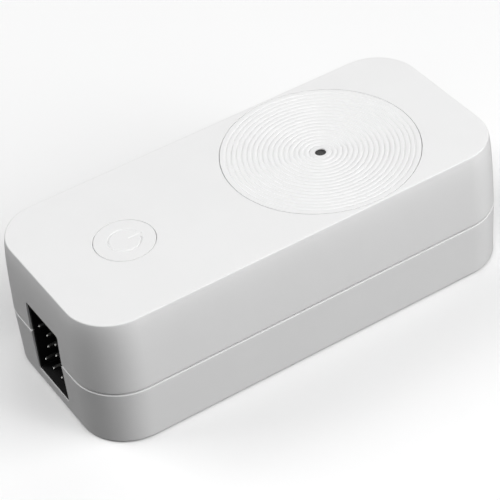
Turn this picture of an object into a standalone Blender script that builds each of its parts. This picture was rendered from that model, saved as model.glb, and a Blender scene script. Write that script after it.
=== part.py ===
"""Climate sensor control box: a two-part casing with a rippled sensor cover, a power button,
an end socket and two circuit boards inside.

Run with: blender --background --python part.py
Units are metres, +Z is up, +X points away from the socket end, -Y is the front long side.
The origin is on the table, below the middle of the box.
"""
import math

import bmesh
import bpy
from mathutils import Matrix, Vector

MM = 0.001
GAP = 0.3 * MM                      # clearance between neighbouring pieces

# Casing
LENGTH = 123.0 * MM
WIDTH = 55.2 * MM
FOOT_STAND = 0.4 * MM               # how far the feet stand proud of the underside
CASE_HEIGHT = 37.2 * MM
BASE_Z = FOOT_STAND
TOP_Z = BASE_Z + CASE_HEIGHT
PARTING_Z = BASE_Z + 15.9 * MM      # the box is widest here and tapers both ways
PARTING_GAP = 0.4 * MM
CORNER_RADIUS = 13.4 * MM
CORNER_SEGMENTS = 9
UPPER_DRAFT = 1.15 * MM             # inset of the walls at the top face
LOWER_DRAFT = 0.3 * MM              # inset of the walls at the underside
RIM_RADIUS = 0.4 * MM
BASE_RADIUS = 0.4 * MM
WALL = 2.0 * MM
ROOF = 3.0 * MM
FLOOR = 2.0 * MM
LIP = 1.1 * MM                      # outer lip of the upper casing that hides the tongue
TONGUE_HEIGHT = 1.5 * MM
ROOF_UNDER_Z = TOP_Z - ROOF
FLOOR_Z = BASE_Z + FLOOR
HALF_LENGTH = LENGTH / 2
HALF_WIDTH = WIDTH / 2
OVERCUT = 1.0 * MM                  # how far a cutter reaches past the face it opens
BITE = 0.8 * MM                     # how far a welded boss reaches into its wall
WELD = 0.01 * MM                    # points closer than this are the same point

# Rippled sensor cover
COVER_X = 21.1 * MM
COVER_RECESS_RADIUS = 25.8 * MM
COVER_RADIUS = COVER_RECESS_RADIUS - GAP
COVER_RECESS = 1.6 * MM
COVER_RIM_THICKNESS = COVER_RECESS - GAP
COVER_OPENING_RADIUS = 22.0 * MM
COVER_SPIGOT_RADIUS = COVER_OPENING_RADIUS - 0.5 * MM
COVER_SEGMENTS = 48
RIPPLE_COUNT = 17
RIPPLE_PITCH = 1.32 * MM
RIPPLE_INNER_RADIUS = 2.9 * MM      # of the smallest groove
RIPPLE_DEPTH = 0.1 * MM
DISH_RADIUS = RIPPLE_INNER_RADIUS + (RIPPLE_COUNT - 0.5) * RIPPLE_PITCH
DISH_DEPTH = 0.8 * MM
COVER_UNDERSIDE_Z = TOP_Z - 2.6 * MM
SNAP_LEGS = 3
SNAP_HALF_WIDTH = 3.0 * MM
SNAP_LEG_RADII = (19.6 * MM, 21.2 * MM)
SNAP_BARB_RADII = (20.4 * MM, 22.7 * MM)
SNAP_REACH = 1.5 * MM               # below the underside of the roof
AIR_HOLE_RADIUS = 1.45 * MM
AIR_HOLE_SKIN = 0.4 * MM            # thickness of the cover round the air hole
NOZZLE_RADIUS = 3.4 * MM
NOZZLE_END_Z = TOP_Z - 5.2 * MM
MEMBRANE_RADIUS = 2.4 * MM
MEMBRANE_THICKNESS = 0.3 * MM
SLEEVE_RADIUS = 2.9 * MM            # bore of the sleeve round the humidity sensor
SLEEVE_TOP_RADIUS = 4.6 * MM
SLEEVE_FOOT_RADIUS = 5.2 * MM
HUMIDITY_SENSOR_HALF = 1.5 * MM
HUMIDITY_SENSOR_HEIGHT = 1.1 * MM
SENSOR_PORT_RADIUS = 0.6 * MM
SENSOR_PORT_DEPTH = 0.5 * MM

# Power button
BUTTON_X = -36.2 * MM
BUTTON_HOLE_RADIUS = 7.95 * MM
BUTTON_RADIUS = BUTTON_HOLE_RADIUS - GAP
BUTTON_SEGMENTS = 40
BUTTON_EDGE = 0.25 * MM             # chamfer round the top
BUTTON_FLANGE_RADIUS = 8.9 * MM
BUTTON_FLANGE = 1.0 * MM
BUTTON_FOOT_RADIUS = 2.2 * MM
BUTTON_FOOT = 0.6 * MM
COLLAR_RADII = (9.3 * MM, 10.6 * MM)    # guide below the roof, round the flange
COLLAR_DEPTH = 2.4 * MM
SYMBOL_RADIUS = 4.1 * MM            # middle of the engraved ring
SYMBOL_LINE = 0.7 * MM
SYMBOL_DEPTH = 0.2 * MM
SYMBOL_GAP_ANGLE = 16.0             # half of the ring's opening, in degrees
SYMBOL_BAR_X = (1.2 * MM, 4.7 * MM)
SYMBOL_STEPS = 28

# Tactile switch below the button
SWITCH_HALF = 3.0 * MM
SWITCH_BASE_HEIGHT = 2.3 * MM
SWITCH_FLOOR = 0.6 * MM
SWITCH_WELL_RADIUS = 2.4 * MM
SWITCH_PLATE = 0.3 * MM
SWITCH_WINDOW_RADIUS = 1.95 * MM
DOME_RADIUS = 2.0 * MM
DOME_SHOULDER_RADIUS = 1.2 * MM
DOME_SHOULDER_RISE = 0.24 * MM
DOME_RISE = 0.35 * MM
DOME_SHEET = 0.1 * MM
PLUNGER_RADIUS = 1.6 * MM
PLUNGER_SHOULDER_RADIUS = 2.0 * MM
PLUNGER_TIP_RADIUS = 0.9 * MM
PLUNGER_EDGE = 0.1 * MM
PLUNGER_REST_GAP = 0.05 * MM        # between the plunger and the dome

# Circuit boards
BOARD_THICKNESS = 1.6 * MM
MAIN_BOARD_Z = 4.3 * MM
MAIN_TOP_Z = MAIN_BOARD_Z + BOARD_THICKNESS
MAIN_BOARD_X = (-47.2 * MM, 48.0 * MM)
SENSOR_BOARD_Z = 27.3 * MM
SENSOR_TOP_Z = SENSOR_BOARD_Z + BOARD_THICKNESS
SENSOR_BOARD_X = (-44.5 * MM, 48.0 * MM)
BOARD_HALF_WIDTH = 22.3 * MM
BOARD_HOLE_RADIUS = 1.4 * MM
PIN_STICK_OUT = 1.0 * MM            # pins and legs reach this far past a board
HEADER_STRIP_HEIGHT = 8.5 * MM
CHIP_CHAMFER = 0.25 * MM
CAPACITOR_X = -32.0 * MM
CAPACITOR_YS = (8.0 * MM, 15.0 * MM)
CAPACITOR_RADIUS = 2.9 * MM
CAPACITOR_HEIGHT = 9.4 * MM
CAPACITOR_NECK = 0.4 * MM           # depth and half height of the crimp round the can
CAPACITOR_NECK_Z = 1.2 * MM
RADIO_X = (20.0 * MM, 44.0 * MM)
RADIO_HALF_WIDTH = 8.0 * MM
RADIO_BOARD_THICKNESS = 0.8 * MM
SHIELD_MARGIN = 1.0 * MM
SHIELD_HEIGHT = 1.9 * MM
ANTENNA_LENGTH = 7.0 * MM           # bare end of the radio board, past its shield

# End socket
SOCKET_HALF_WIDTH = 8.0 * MM        # of the casing's opening
SOCKET_STEP = 0.15 * MM             # the upper half of the opening is wider, the lower narrower
SOCKET_LOW_Z = BASE_Z + 3.2 * MM
SOCKET_HIGH_Z = BASE_Z + 25.3 * MM
SOCKET_CORNER = 0.8 * MM
SOCKET_CUT_DEPTH = 6.0 * MM
SHROUD_X = -61.1 * MM
SHROUD_WALL = 0.9 * MM
SHROUD_DEPTH = 11.4 * MM
SHROUD_BACK_X = -43.5 * MM
SHROUD_HALF_WIDTH = SOCKET_HALF_WIDTH - SOCKET_STEP - GAP
SHROUD_LOW_Z = SOCKET_LOW_Z + GAP
SHROUD_HIGH_Z = SOCKET_HIGH_Z - GAP
CONTACT_PITCH = 4.2 * MM
CONTACT_ROW = 5.5 * MM
CONTACT_MIDDLE_Z = BASE_Z + 13.8 * MM
CONTACT_SIZE = 0.8 * MM
CONTACT_CHAMFER = 0.25 * MM
CONTACT_TIP_X = -60.7 * MM
CONTACT_SHORT = 0.5 * MM            # the middle row starts this much further in
CONTACT_LEG_XS = (-38.3 * MM, -40.3 * MM, -42.3 * MM)   # upper, middle and lower row
BOARD_NOTCH_HALF_WIDTH = 10.0 * MM

# Fasteners
CASE_SCREW_X = 52.3 * MM
CASE_SCREW_Y = 18.4 * MM
BOARD_SCREW_Y = 19.3 * MM
MAIN_SCREW_XS = (-27.0 * MM, 27.0 * MM)
SENSOR_SCREWS = ((-22.0 * MM, 19.0 * MM), (45.0 * MM, 14.0 * MM))
CASE_HEAD_RADIUS = 2.6 * MM
CASE_HEAD_Z = BASE_Z + 4.7 * MM
CASE_HEAD_HEIGHT = 2.0 * MM
CASE_SHAFT_RADIUS = 1.25 * MM
CASE_SHAFT_TOP_Z = BASE_Z + 23.5 * MM
BOARD_HEAD_RADIUS = 2.1 * MM
BOARD_HEAD_HEIGHT = 1.4 * MM
BOARD_SHAFT_RADIUS = 1.0 * MM
MAIN_SHAFT_LOW_Z = FLOOR_Z - 0.3 * MM
SENSOR_SHAFT_TOP_Z = SENSOR_TOP_Z + 4.0 * MM
CASE_PILLAR_RADIUS = 3.4 * MM       # in the upper casing
CASE_POST_RADIUS = 3.8 * MM         # in the lower casing
CASE_HOLE_RADIUS = 1.7 * MM
COUNTERBORE_RADIUS = 3.0 * MM
COUNTERBORE_DEPTH = 7.0 * MM
SENSOR_PILLAR_RADIUS = 2.6 * MM
MAIN_POST_RADIUS = 2.8 * MM
FOOT_X = 40.0 * MM
FOOT_Y = 18.0 * MM
FOOT_RADIUS = 4.0 * MM
FOOT_POCKET = 1.0 * MM
FOOT_EDGE = 0.3 * MM

# Board-to-board header
HEADER_X = -13.0 * MM
HEADER_PINS = 6
HEADER_PITCH = 2.54 * MM
HEADER_PIN = 0.64 * MM


# ---------------------------------------------------------------- scene and materials

def clear_scene():
    for obj in list(bpy.data.objects):
        bpy.data.objects.remove(obj, do_unlink=True)


def new_collection(name):
    collection = bpy.data.collections.new(name)
    bpy.context.scene.collection.children.link(collection)
    return collection


def new_material(name, color, roughness, metallic=0.0):
    material = bpy.data.materials.new(name)
    material.use_nodes = True
    shader = material.node_tree.nodes["Principled BSDF"]
    shader.inputs["Base Color"].default_value = (*color, 1.0)
    shader.inputs["Roughness"].default_value = roughness
    shader.inputs["Metallic"].default_value = metallic
    material.diffuse_color = (*color, 1.0)
    return material


clear_scene()
PARTS = new_collection("climate_control_box")
CUTTERS = new_collection("cutters")

WHITE = new_material("white_casing", (0.83, 0.83, 0.83), 0.45)
WHITE_COVER = new_material("white_cover", (0.84, 0.84, 0.84), 0.42)
WHITE_BUTTON = new_material("white_button", (0.83, 0.83, 0.83), 0.4)
BLACK = new_material("black_plastic", (0.012, 0.012, 0.013), 0.5)
BOARD_GREEN = new_material("board_laminate", (0.03, 0.16, 0.07), 0.45)
CHIP_BLACK = new_material("chip_resin", (0.02, 0.02, 0.022), 0.55)
TIN = new_material("tinned_contact", (0.62, 0.62, 0.6), 0.3, 1.0)
STEEL = new_material("zinc_steel", (0.58, 0.58, 0.6), 0.32, 1.0)
SPRING = new_material("spring_steel", (0.5, 0.5, 0.5), 0.3, 1.0)
FOOT_RUBBER = new_material("foot_rubber", (0.09, 0.09, 0.095), 0.85)
SLEEVE_RUBBER = new_material("sleeve_rubber", (0.3, 0.3, 0.31), 0.8)
MEMBRANE_FABRIC = new_material("membrane_fabric", (0.06, 0.06, 0.06), 0.9)
CAN_ALUMINIUM = new_material("can_aluminium", (0.72, 0.72, 0.74), 0.3, 1.0)


# ---------------------------------------------------------------- modelling helpers

def object_from(bm, name, material, collection=PARTS, location=(0, 0, 0)):
    bmesh.ops.recalc_face_normals(bm, faces=bm.faces)
    mesh = bpy.data.meshes.new(name)
    bm.to_mesh(mesh)
    bm.free()
    obj = bpy.data.objects.new(name, mesh)
    obj.location = location
    if material:
        mesh.materials.append(material)
    collection.objects.link(obj)
    return obj


def smooth(obj, angle=30.0):
    obj.data.shade_smooth()
    obj.data.set_sharp_from_angle(angle=math.radians(angle))


def as_cutter(obj):
    obj.hide_render = True
    obj.display_type = "WIRE"
    return obj


def combine(target, tool, operation, overlapping=False):
    """Cut the tool out of the target, or weld it on. overlapping: the tool's own bodies overlap."""
    modifier = target.modifiers.new(tool.name, "BOOLEAN")
    modifier.operation = operation
    modifier.solver = "EXACT"
    modifier.use_self = overlapping
    modifier.object = as_cutter(tool)


def add_box(bm, low, high):
    """A box between two corners, given as (x, y, z)."""
    low, high = Vector(low), Vector(high)
    made = bmesh.ops.create_cube(bm, size=1.0)
    size = high - low
    place = Matrix.Translation((low + high) / 2) @ Matrix.Diagonal((*size, 1.0))
    bmesh.ops.transform(bm, matrix=place, verts=made["verts"])
    return made["verts"]


def add_cylinder(bm, x, y, low_z, high_z, radius, segments):
    middle = Matrix.Translation((x, y, (low_z + high_z) / 2))
    bmesh.ops.create_cone(bm, cap_ends=True, segments=segments, radius1=radius, radius2=radius,
                          depth=high_z - low_z, matrix=middle)


def box(name, low, high, material, bevel=0.0):
    bm = bmesh.new()
    add_box(bm, low, high)
    if bevel:
        bmesh.ops.bevel(bm, geom=bm.edges[:], offset=bevel, segments=1, affect="EDGES")
    return object_from(bm, name, material)


def boxes(name, corners):
    """Several separate boxes in one object, for cutting or welding."""
    bm = bmesh.new()
    for low, high in corners:
        add_box(bm, low, high)
    return object_from(bm, name, None, CUTTERS)


def cylinders(name, rows, segments=20):
    """Upright cylinders in one object, for cutting or welding: rows of (x, y, low z, high z, radius)."""
    bm = bmesh.new()
    for x, y, low_z, high_z, radius in rows:
        add_cylinder(bm, x, y, low_z, high_z, radius, segments)
    return object_from(bm, name, None, CUTTERS)


def rounded_block(name, half_length, half_width, levels, radius, rim=None, material=None,
                  collection=CUTTERS):
    """A block with round vertical corners and tapered walls.

    levels is ((z, inset), (z, inset)) from low to high. rim is (z, radius) of a rounded rim.
    """
    bm = bmesh.new()
    (low_z, low_inset), (high_z, high_inset) = levels
    for vert in add_box(bm, (-1, -1, low_z), (1, 1, high_z)):
        inset = low_inset if vert.co.z < (low_z + high_z) / 2 else high_inset
        vert.co.x *= half_length - inset
        vert.co.y *= half_width - inset
    upright = [edge for edge in bm.edges
               if abs(edge.verts[0].co.z - edge.verts[1].co.z) > (high_z - low_z) / 2]
    bmesh.ops.bevel(bm, geom=upright, offset=radius, segments=CORNER_SEGMENTS, profile=0.5,
                    affect="EDGES")
    if rim:
        rim_z, rim_radius = rim
        edges = [edge for edge in bm.edges
                 if all(abs(vert.co.z - rim_z) < WELD for vert in edge.verts)]
        bmesh.ops.bevel(bm, geom=edges, offset=rim_radius, segments=3, profile=0.5, affect="EDGES")
    return object_from(bm, name, material, collection)


def turned(name, profile, material, collection=PARTS, x=0.0, y=0.0, segments=24):
    """A body of revolution about a vertical axis.

    profile is (radius, z) points running down the outer side, then back up to the start.
    """
    bm = bmesh.new()
    verts = [bm.verts.new((radius, 0, z)) for radius, z in profile]
    on_axis = profile[0][0] == 0 and profile[-1][0] == 0
    for first, second in zip(verts, verts[1:]):
        bm.edges.new((first, second))
    if not on_axis:
        bm.edges.new((verts[-1], verts[0]))
    mesh = bpy.data.meshes.new(name)
    bm.to_mesh(mesh)
    bm.free()
    obj = bpy.data.objects.new(name, mesh)
    obj.location = (x, y, 0)
    if material:
        mesh.materials.append(material)
    collection.objects.link(obj)
    screw = obj.modifiers.new("turn", "SCREW")
    screw.axis = "Z"
    screw.angle = math.tau
    screw.steps = segments
    screw.render_steps = segments
    screw.use_merge_vertices = True
    screw.merge_threshold = WELD
    screw.use_smooth_shade = True
    return obj


def four_places(x, y):
    """The places (+-x, +-y)."""
    return [(x, y), (x, -y), (-x, y), (-x, -y)]


# ---------------------------------------------------------------- casing

def corner_bosses():
    return four_places(CASE_SCREW_X, CASE_SCREW_Y)


def sensor_board_bosses():
    return [(x, side * y) for x, y in SENSOR_SCREWS for side in (1, -1)]


def main_board_posts():
    return [(x, side * BOARD_SCREW_Y) for x in MAIN_SCREW_XS for side in (1, -1)]


def foot_places():
    return four_places(FOOT_X, FOOT_Y)


def socket_opening(name, half_width):
    """The rectangular opening in the socket end, with small rounded corners."""
    bm = bmesh.new()
    add_box(bm, (-HALF_LENGTH - OVERCUT, -half_width, SOCKET_LOW_Z),
            (-HALF_LENGTH + SOCKET_CUT_DEPTH, half_width, SOCKET_HIGH_Z))
    along = [edge for edge in bm.edges
             if abs(edge.verts[0].co.x - edge.verts[1].co.x) > SOCKET_CUT_DEPTH]
    bmesh.ops.bevel(bm, geom=along, offset=SOCKET_CORNER, segments=3, profile=0.5, affect="EDGES")
    return object_from(bm, name, None, CUTTERS)


def upper_casing():
    """Top shell: roof with the cover's recess and the button's hole, walls down to the parting."""
    low_z = PARTING_Z + PARTING_GAP / 2
    shell = rounded_block("upper_casing", HALF_LENGTH, HALF_WIDTH,
                          ((low_z, 0.0), (TOP_Z, UPPER_DRAFT)), CORNER_RADIUS,
                          rim=(TOP_Z, RIM_RADIUS), material=WHITE, collection=PARTS)
    cavity = rounded_block("upper_cavity", HALF_LENGTH - WALL, HALF_WIDTH - WALL,
                           ((low_z - 2 * OVERCUT, 0.0), (ROOF_UNDER_Z, UPPER_DRAFT)),
                           CORNER_RADIUS - WALL)
    combine(shell, cavity, "DIFFERENCE")
    rebate = rounded_block("upper_rebate", HALF_LENGTH - LIP, HALF_WIDTH - LIP,
                           ((low_z - OVERCUT, 0.0), (low_z + TONGUE_HEIGHT + GAP, 0.0)),
                           CORNER_RADIUS - LIP)
    combine(shell, rebate, "DIFFERENCE")

    into_roof = ROOF_UNDER_Z + BITE
    pillars = [(x, y, low_z, into_roof, CASE_PILLAR_RADIUS) for x, y in corner_bosses()]
    pillars += [(x, y, SENSOR_TOP_Z + GAP, into_roof, SENSOR_PILLAR_RADIUS)
                for x, y in sensor_board_bosses()]
    combine(shell, cylinders("upper_pillars", pillars), "UNION")
    inner, outer = COLLAR_RADII
    collar_low = ROOF_UNDER_Z - COLLAR_DEPTH
    collar = turned("button_collar", ((outer, into_roof), (outer, collar_low), (inner, collar_low),
                                      (inner, into_roof)), None, CUTTERS, x=BUTTON_X, segments=32)
    combine(shell, collar, "UNION")

    pilots = [(x, y, PARTING_Z - OVERCUT, CASE_SHAFT_TOP_Z + OVERCUT, CASE_SHAFT_RADIUS + GAP)
              for x, y in corner_bosses()]
    pilots += [(x, y, SENSOR_TOP_Z - OVERCUT, SENSOR_SHAFT_TOP_Z + GAP, BOARD_SHAFT_RADIUS + GAP)
               for x, y in sensor_board_bosses()]
    combine(shell, cylinders("upper_pilot_holes", pilots, segments=12), "DIFFERENCE")
    above, below = TOP_Z + OVERCUT, ROOF_UNDER_Z - OVERCUT
    for name, x, low, radius, segments in (
            ("cover_recess", COVER_X, TOP_Z - COVER_RECESS, COVER_RECESS_RADIUS, COVER_SEGMENTS),
            ("cover_opening", COVER_X, below, COVER_OPENING_RADIUS, COVER_SEGMENTS),
            ("button_hole", BUTTON_X, below, BUTTON_HOLE_RADIUS, BUTTON_SEGMENTS)):
        combine(shell, cylinders(name, [(x, 0, low, above, radius)], segments), "DIFFERENCE")
    combine(shell, socket_opening("upper_socket_cut", SOCKET_HALF_WIDTH + SOCKET_STEP), "DIFFERENCE")
    smooth(shell)


def lower_casing():
    """Bottom shell: floor, walls up to the parting, and a tongue that the upper lip covers."""
    high_z = PARTING_Z - PARTING_GAP / 2
    shell = rounded_block("lower_casing", HALF_LENGTH, HALF_WIDTH,
                          ((BASE_Z, LOWER_DRAFT), (high_z, 0.0)), CORNER_RADIUS,
                          rim=(BASE_Z, BASE_RADIUS), material=WHITE, collection=PARTS)
    tongue_inset = LIP + GAP
    tongue = rounded_block("lower_tongue", HALF_LENGTH - tongue_inset, HALF_WIDTH - tongue_inset,
                           ((high_z - 2 * TONGUE_HEIGHT, 0.0), (PARTING_Z + TONGUE_HEIGHT, 0.0)),
                           CORNER_RADIUS - tongue_inset)
    combine(shell, tongue, "UNION")
    cavity = rounded_block("lower_cavity", HALF_LENGTH - WALL, HALF_WIDTH - WALL,
                           ((FLOOR_Z, LOWER_DRAFT), (PARTING_Z + 2 * TONGUE_HEIGHT, 0.0)),
                           CORNER_RADIUS - WALL)
    combine(shell, cavity, "DIFFERENCE")

    below_floor = FLOOR_Z - BITE
    posts = [(x, y, below_floor, high_z, CASE_POST_RADIUS) for x, y in corner_bosses()]
    posts += [(x, y, below_floor, MAIN_BOARD_Z - GAP, MAIN_POST_RADIUS) for x, y in main_board_posts()]
    combine(shell, cylinders("lower_posts", posts), "UNION")

    below = BASE_Z - OVERCUT
    holes = [(x, y, below, PARTING_Z + OVERCUT, CASE_HOLE_RADIUS) for x, y in corner_bosses()]
    holes += [(x, y, MAIN_SHAFT_LOW_Z - GAP, MAIN_BOARD_Z + OVERCUT, BOARD_SHAFT_RADIUS + GAP)
              for x, y in main_board_posts()]
    combine(shell, cylinders("lower_screw_holes", holes, segments=12), "DIFFERENCE")
    counterbores = [(x, y, below, BASE_Z + COUNTERBORE_DEPTH, COUNTERBORE_RADIUS)
                    for x, y in corner_bosses()]
    combine(shell, cylinders("lower_counterbores", counterbores, segments=16), "DIFFERENCE")
    pockets = [(x, y, below, BASE_Z + FOOT_POCKET, FOOT_RADIUS + GAP) for x, y in foot_places()]
    combine(shell, cylinders("foot_pockets", pockets, segments=24), "DIFFERENCE")
    combine(shell, socket_opening("lower_socket_cut", SOCKET_HALF_WIDTH - SOCKET_STEP), "DIFFERENCE")
    smooth(shell)


# ---------------------------------------------------------------- rippled cover

def dish_z(radius):
    """Height of the dished top of the cover: level at the rim, lowest at the air hole."""
    inward = max(0.0, 1.0 - radius / DISH_RADIUS)
    return TOP_Z - DISH_DEPTH * math.sin(inward * math.pi / 2)


AIR_HOLE_SEAT_Z = dish_z(AIR_HOLE_RADIUS) - AIR_HOLE_SKIN


def ripple_cover():
    """Round cover that snaps into the roof: rippled dish, air hole and nozzle, snap legs."""
    rim_z = TOP_Z - COVER_RIM_THICKNESS
    seat_radius = MEMBRANE_RADIUS + GAP
    profile = [(COVER_RADIUS, TOP_Z), (COVER_RADIUS, rim_z), (COVER_SPIGOT_RADIUS, rim_z),
               (COVER_SPIGOT_RADIUS, COVER_UNDERSIDE_Z), (NOZZLE_RADIUS, COVER_UNDERSIDE_Z),
               (NOZZLE_RADIUS, NOZZLE_END_Z), (seat_radius, NOZZLE_END_Z),
               (seat_radius, AIR_HOLE_SEAT_Z), (AIR_HOLE_RADIUS, AIR_HOLE_SEAT_Z),
               (AIR_HOLE_RADIUS, dish_z(AIR_HOLE_RADIUS))]
    for ripple in range(RIPPLE_COUNT):
        valley = RIPPLE_INNER_RADIUS + ripple * RIPPLE_PITCH
        crest = valley - RIPPLE_PITCH / 2
        profile += [(crest, dish_z(crest)), (valley, dish_z(valley) - RIPPLE_DEPTH)]
    profile.append((DISH_RADIUS, TOP_Z))
    cover = turned("ripple_cover", profile, WHITE_COVER, x=COVER_X, segments=COVER_SEGMENTS)

    bm = bmesh.new()
    leg_low = ROOF_UNDER_Z - SNAP_REACH
    for turn in range(SNAP_LEGS):
        spin = (Matrix.Translation((COVER_X, 0, 0))
                @ Matrix.Rotation(math.tau * turn / SNAP_LEGS, 4, "Z"))
        leg = add_box(bm, (SNAP_LEG_RADII[0], -SNAP_HALF_WIDTH, leg_low),
                      (SNAP_LEG_RADII[1], SNAP_HALF_WIDTH, COVER_UNDERSIDE_Z + BITE))
        barb = add_box(bm, (SNAP_BARB_RADII[0], -SNAP_HALF_WIDTH, leg_low - GAP),
                       (SNAP_BARB_RADII[1], SNAP_HALF_WIDTH, ROOF_UNDER_Z - GAP))
        bmesh.ops.transform(bm, matrix=spin, verts=leg + barb)
    legs = object_from(bm, "snap_legs", None, CUTTERS)
    combine(cover, legs, "UNION", overlapping=True)


def air_path():
    """Membrane below the air hole, the humidity sensor and the sleeve that seals the two."""
    membrane_high = AIR_HOLE_SEAT_Z - GAP
    membrane_low = membrane_high - MEMBRANE_THICKNESS
    turned("dust_membrane", ((0, membrane_high), (MEMBRANE_RADIUS, membrane_high),
                             (MEMBRANE_RADIUS, membrane_low), (0, membrane_low)),
           MEMBRANE_FABRIC, x=COVER_X, segments=20)
    half, seat = HUMIDITY_SENSOR_HALF, SENSOR_TOP_Z + GAP
    sensor_high = seat + HUMIDITY_SENSOR_HEIGHT
    sensor = box("humidity_sensor", (COVER_X - half, -half, seat), (COVER_X + half, half, sensor_high),
                 CHIP_BLACK)
    port = cylinders("sensor_port", [(COVER_X, 0, sensor_high - SENSOR_PORT_DEPTH, sensor_high + OVERCUT,
                                      SENSOR_PORT_RADIUS)], segments=12)
    combine(sensor, port, "DIFFERENCE")
    sleeve_top = NOZZLE_END_Z - GAP
    turned("sensor_sleeve", ((SLEEVE_TOP_RADIUS, sleeve_top), (SLEEVE_FOOT_RADIUS, seat),
                             (SLEEVE_RADIUS, seat), (SLEEVE_RADIUS, sleeve_top)),
           SLEEVE_RUBBER, x=COVER_X)


# ---------------------------------------------------------------- button and its switch

def power_symbol():
    """Cutter for the open ring and the bar of the power symbol."""
    bm = bmesh.new()
    inner, outer = SYMBOL_RADIUS - SYMBOL_LINE / 2, SYMBOL_RADIUS + SYMBOL_LINE / 2
    low_z, high_z = TOP_Z - SYMBOL_DEPTH, TOP_Z + OVERCUT
    rings = []
    for step in range(SYMBOL_STEPS + 1):
        turn = math.radians(SYMBOL_GAP_ANGLE + (360 - 2 * SYMBOL_GAP_ANGLE) * step / SYMBOL_STEPS)
        ray = Vector((math.cos(turn), math.sin(turn), 0))
        rings.append([bm.verts.new(ray * radius + Vector((0, 0, z)))
                      for radius, z in ((inner, low_z), (outer, low_z), (outer, high_z),
                                        (inner, high_z))])
    for first, second in zip(rings, rings[1:]):
        for side in range(4):
            after = (side + 1) % 4
            bm.faces.new((first[side], first[after], second[after], second[side]))
    bm.faces.new(rings[0])
    bm.faces.new(rings[-1])
    add_box(bm, (SYMBOL_BAR_X[0], -SYMBOL_LINE / 2, low_z), (SYMBOL_BAR_X[1], SYMBOL_LINE / 2, high_z))
    return object_from(bm, "power_symbol", None, CUTTERS, location=(BUTTON_X, 0, 0))


def button_cap():
    """Round cap, flush with the roof, with a flange that holds it in from below."""
    flange_top = ROOF_UNDER_Z - GAP
    flange_low = flange_top - BUTTON_FLANGE
    foot_low = flange_low - BUTTON_FOOT
    cap = turned("button_cap", ((0, TOP_Z), (BUTTON_RADIUS - BUTTON_EDGE, TOP_Z),
                                (BUTTON_RADIUS, TOP_Z - BUTTON_EDGE), (BUTTON_RADIUS, flange_top),
                                (BUTTON_FLANGE_RADIUS, flange_top), (BUTTON_FLANGE_RADIUS, flange_low),
                                (BUTTON_FOOT_RADIUS, flange_low), (BUTTON_FOOT_RADIUS, foot_low),
                                (0, foot_low)),
                 WHITE_BUTTON, x=BUTTON_X, segments=BUTTON_SEGMENTS)
    combine(cap, power_symbol(), "DIFFERENCE")
    return foot_low


def tactile_switch(button_foot_z):
    """Snap-dome switch on the sensor board: base, dome, plunger and cover plate."""
    half = SWITCH_HALF
    base_low = SENSOR_TOP_Z + GAP
    base_high = base_low + SWITCH_BASE_HEIGHT
    well_low = base_low + SWITCH_FLOOR
    base = box("switch_base", (BUTTON_X - half, -half, base_low), (BUTTON_X + half, half, base_high),
               CHIP_BLACK)
    well = cylinders("switch_well", [(BUTTON_X, 0, well_low, base_high + OVERCUT, SWITCH_WELL_RADIUS)],
                     segments=24)
    combine(base, well, "DIFFERENCE")

    dome_low = well_low + GAP
    shoulder_z, crown_z = dome_low + DOME_SHOULDER_RISE, dome_low + DOME_RISE
    turned("switch_dome", ((0, crown_z + DOME_SHEET), (DOME_SHOULDER_RADIUS, shoulder_z + DOME_SHEET),
                           (DOME_RADIUS, dome_low + DOME_SHEET), (DOME_RADIUS, dome_low),
                           (DOME_SHOULDER_RADIUS, shoulder_z), (0, crown_z)),
           SPRING, x=BUTTON_X, segments=20)

    low_z = crown_z + DOME_SHEET + PLUNGER_REST_GAP
    high_z = button_foot_z - GAP
    shoulder_z = base_high - PLUNGER_EDGE
    turned("switch_plunger", ((0, high_z), (PLUNGER_RADIUS - PLUNGER_EDGE, high_z),
                              (PLUNGER_RADIUS, high_z - PLUNGER_EDGE), (PLUNGER_RADIUS, shoulder_z),
                              (PLUNGER_SHOULDER_RADIUS, shoulder_z),
                              (PLUNGER_SHOULDER_RADIUS, low_z + GAP), (PLUNGER_TIP_RADIUS, low_z),
                              (0, low_z)),
           BLACK, x=BUTTON_X, segments=20)

    plate_low = base_high + GAP
    cover = box("switch_cover", (BUTTON_X - half, -half, plate_low),
                (BUTTON_X + half, half, plate_low + SWITCH_PLATE), STEEL)
    window = cylinders("switch_window", [(BUTTON_X, 0, plate_low - OVERCUT,
                                          plate_low + SWITCH_PLATE + OVERCUT, SWITCH_WINDOW_RADIUS)])
    combine(cover, window, "DIFFERENCE")


# ---------------------------------------------------------------- boards and what they carry

def header_ys():
    return [(index - (HEADER_PINS - 1) / 2) * HEADER_PITCH for index in range(HEADER_PINS)]


def square_holes(name, places, low_z, high_z):
    """Cutter with one upright square prism for each (x, y, size)."""
    return boxes(name, [((x - size / 2, y - size / 2, low_z), (x + size / 2, y + size / 2, high_z))
                        for x, y, size in places])


def contact_places():
    """(row, y, tip x, leg x) of each socket contact: rows of three, two and three."""
    places = []
    for row, count, short, leg_x in zip((1, 0, -1), (3, 2, 3), (0, CONTACT_SHORT, 0), CONTACT_LEG_XS):
        for index in range(count):
            y = (index - (count - 1) / 2) * CONTACT_PITCH
            places.append((row, y, CONTACT_TIP_X + short, leg_x))
    return places


def circuit_board(name, x_range, low_z, screws, legs):
    """Board with round holes for its screws and square ones, (x, y, size), for pins and legs."""
    high_z = low_z + BOARD_THICKNESS
    board = box(name, (x_range[0], -BOARD_HALF_WIDTH, low_z), (x_range[1], BOARD_HALF_WIDTH, high_z),
                BOARD_GREEN)
    below, above = low_z - OVERCUT, high_z + OVERCUT
    round_holes = cylinders(name + "_screw_holes", [(x, y, below, above, BOARD_HOLE_RADIUS)
                                                    for x, y in screws], segments=12)
    combine(board, round_holes, "DIFFERENCE")
    combine(board, square_holes(name + "_pin_holes", legs, below, above), "DIFFERENCE")


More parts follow.
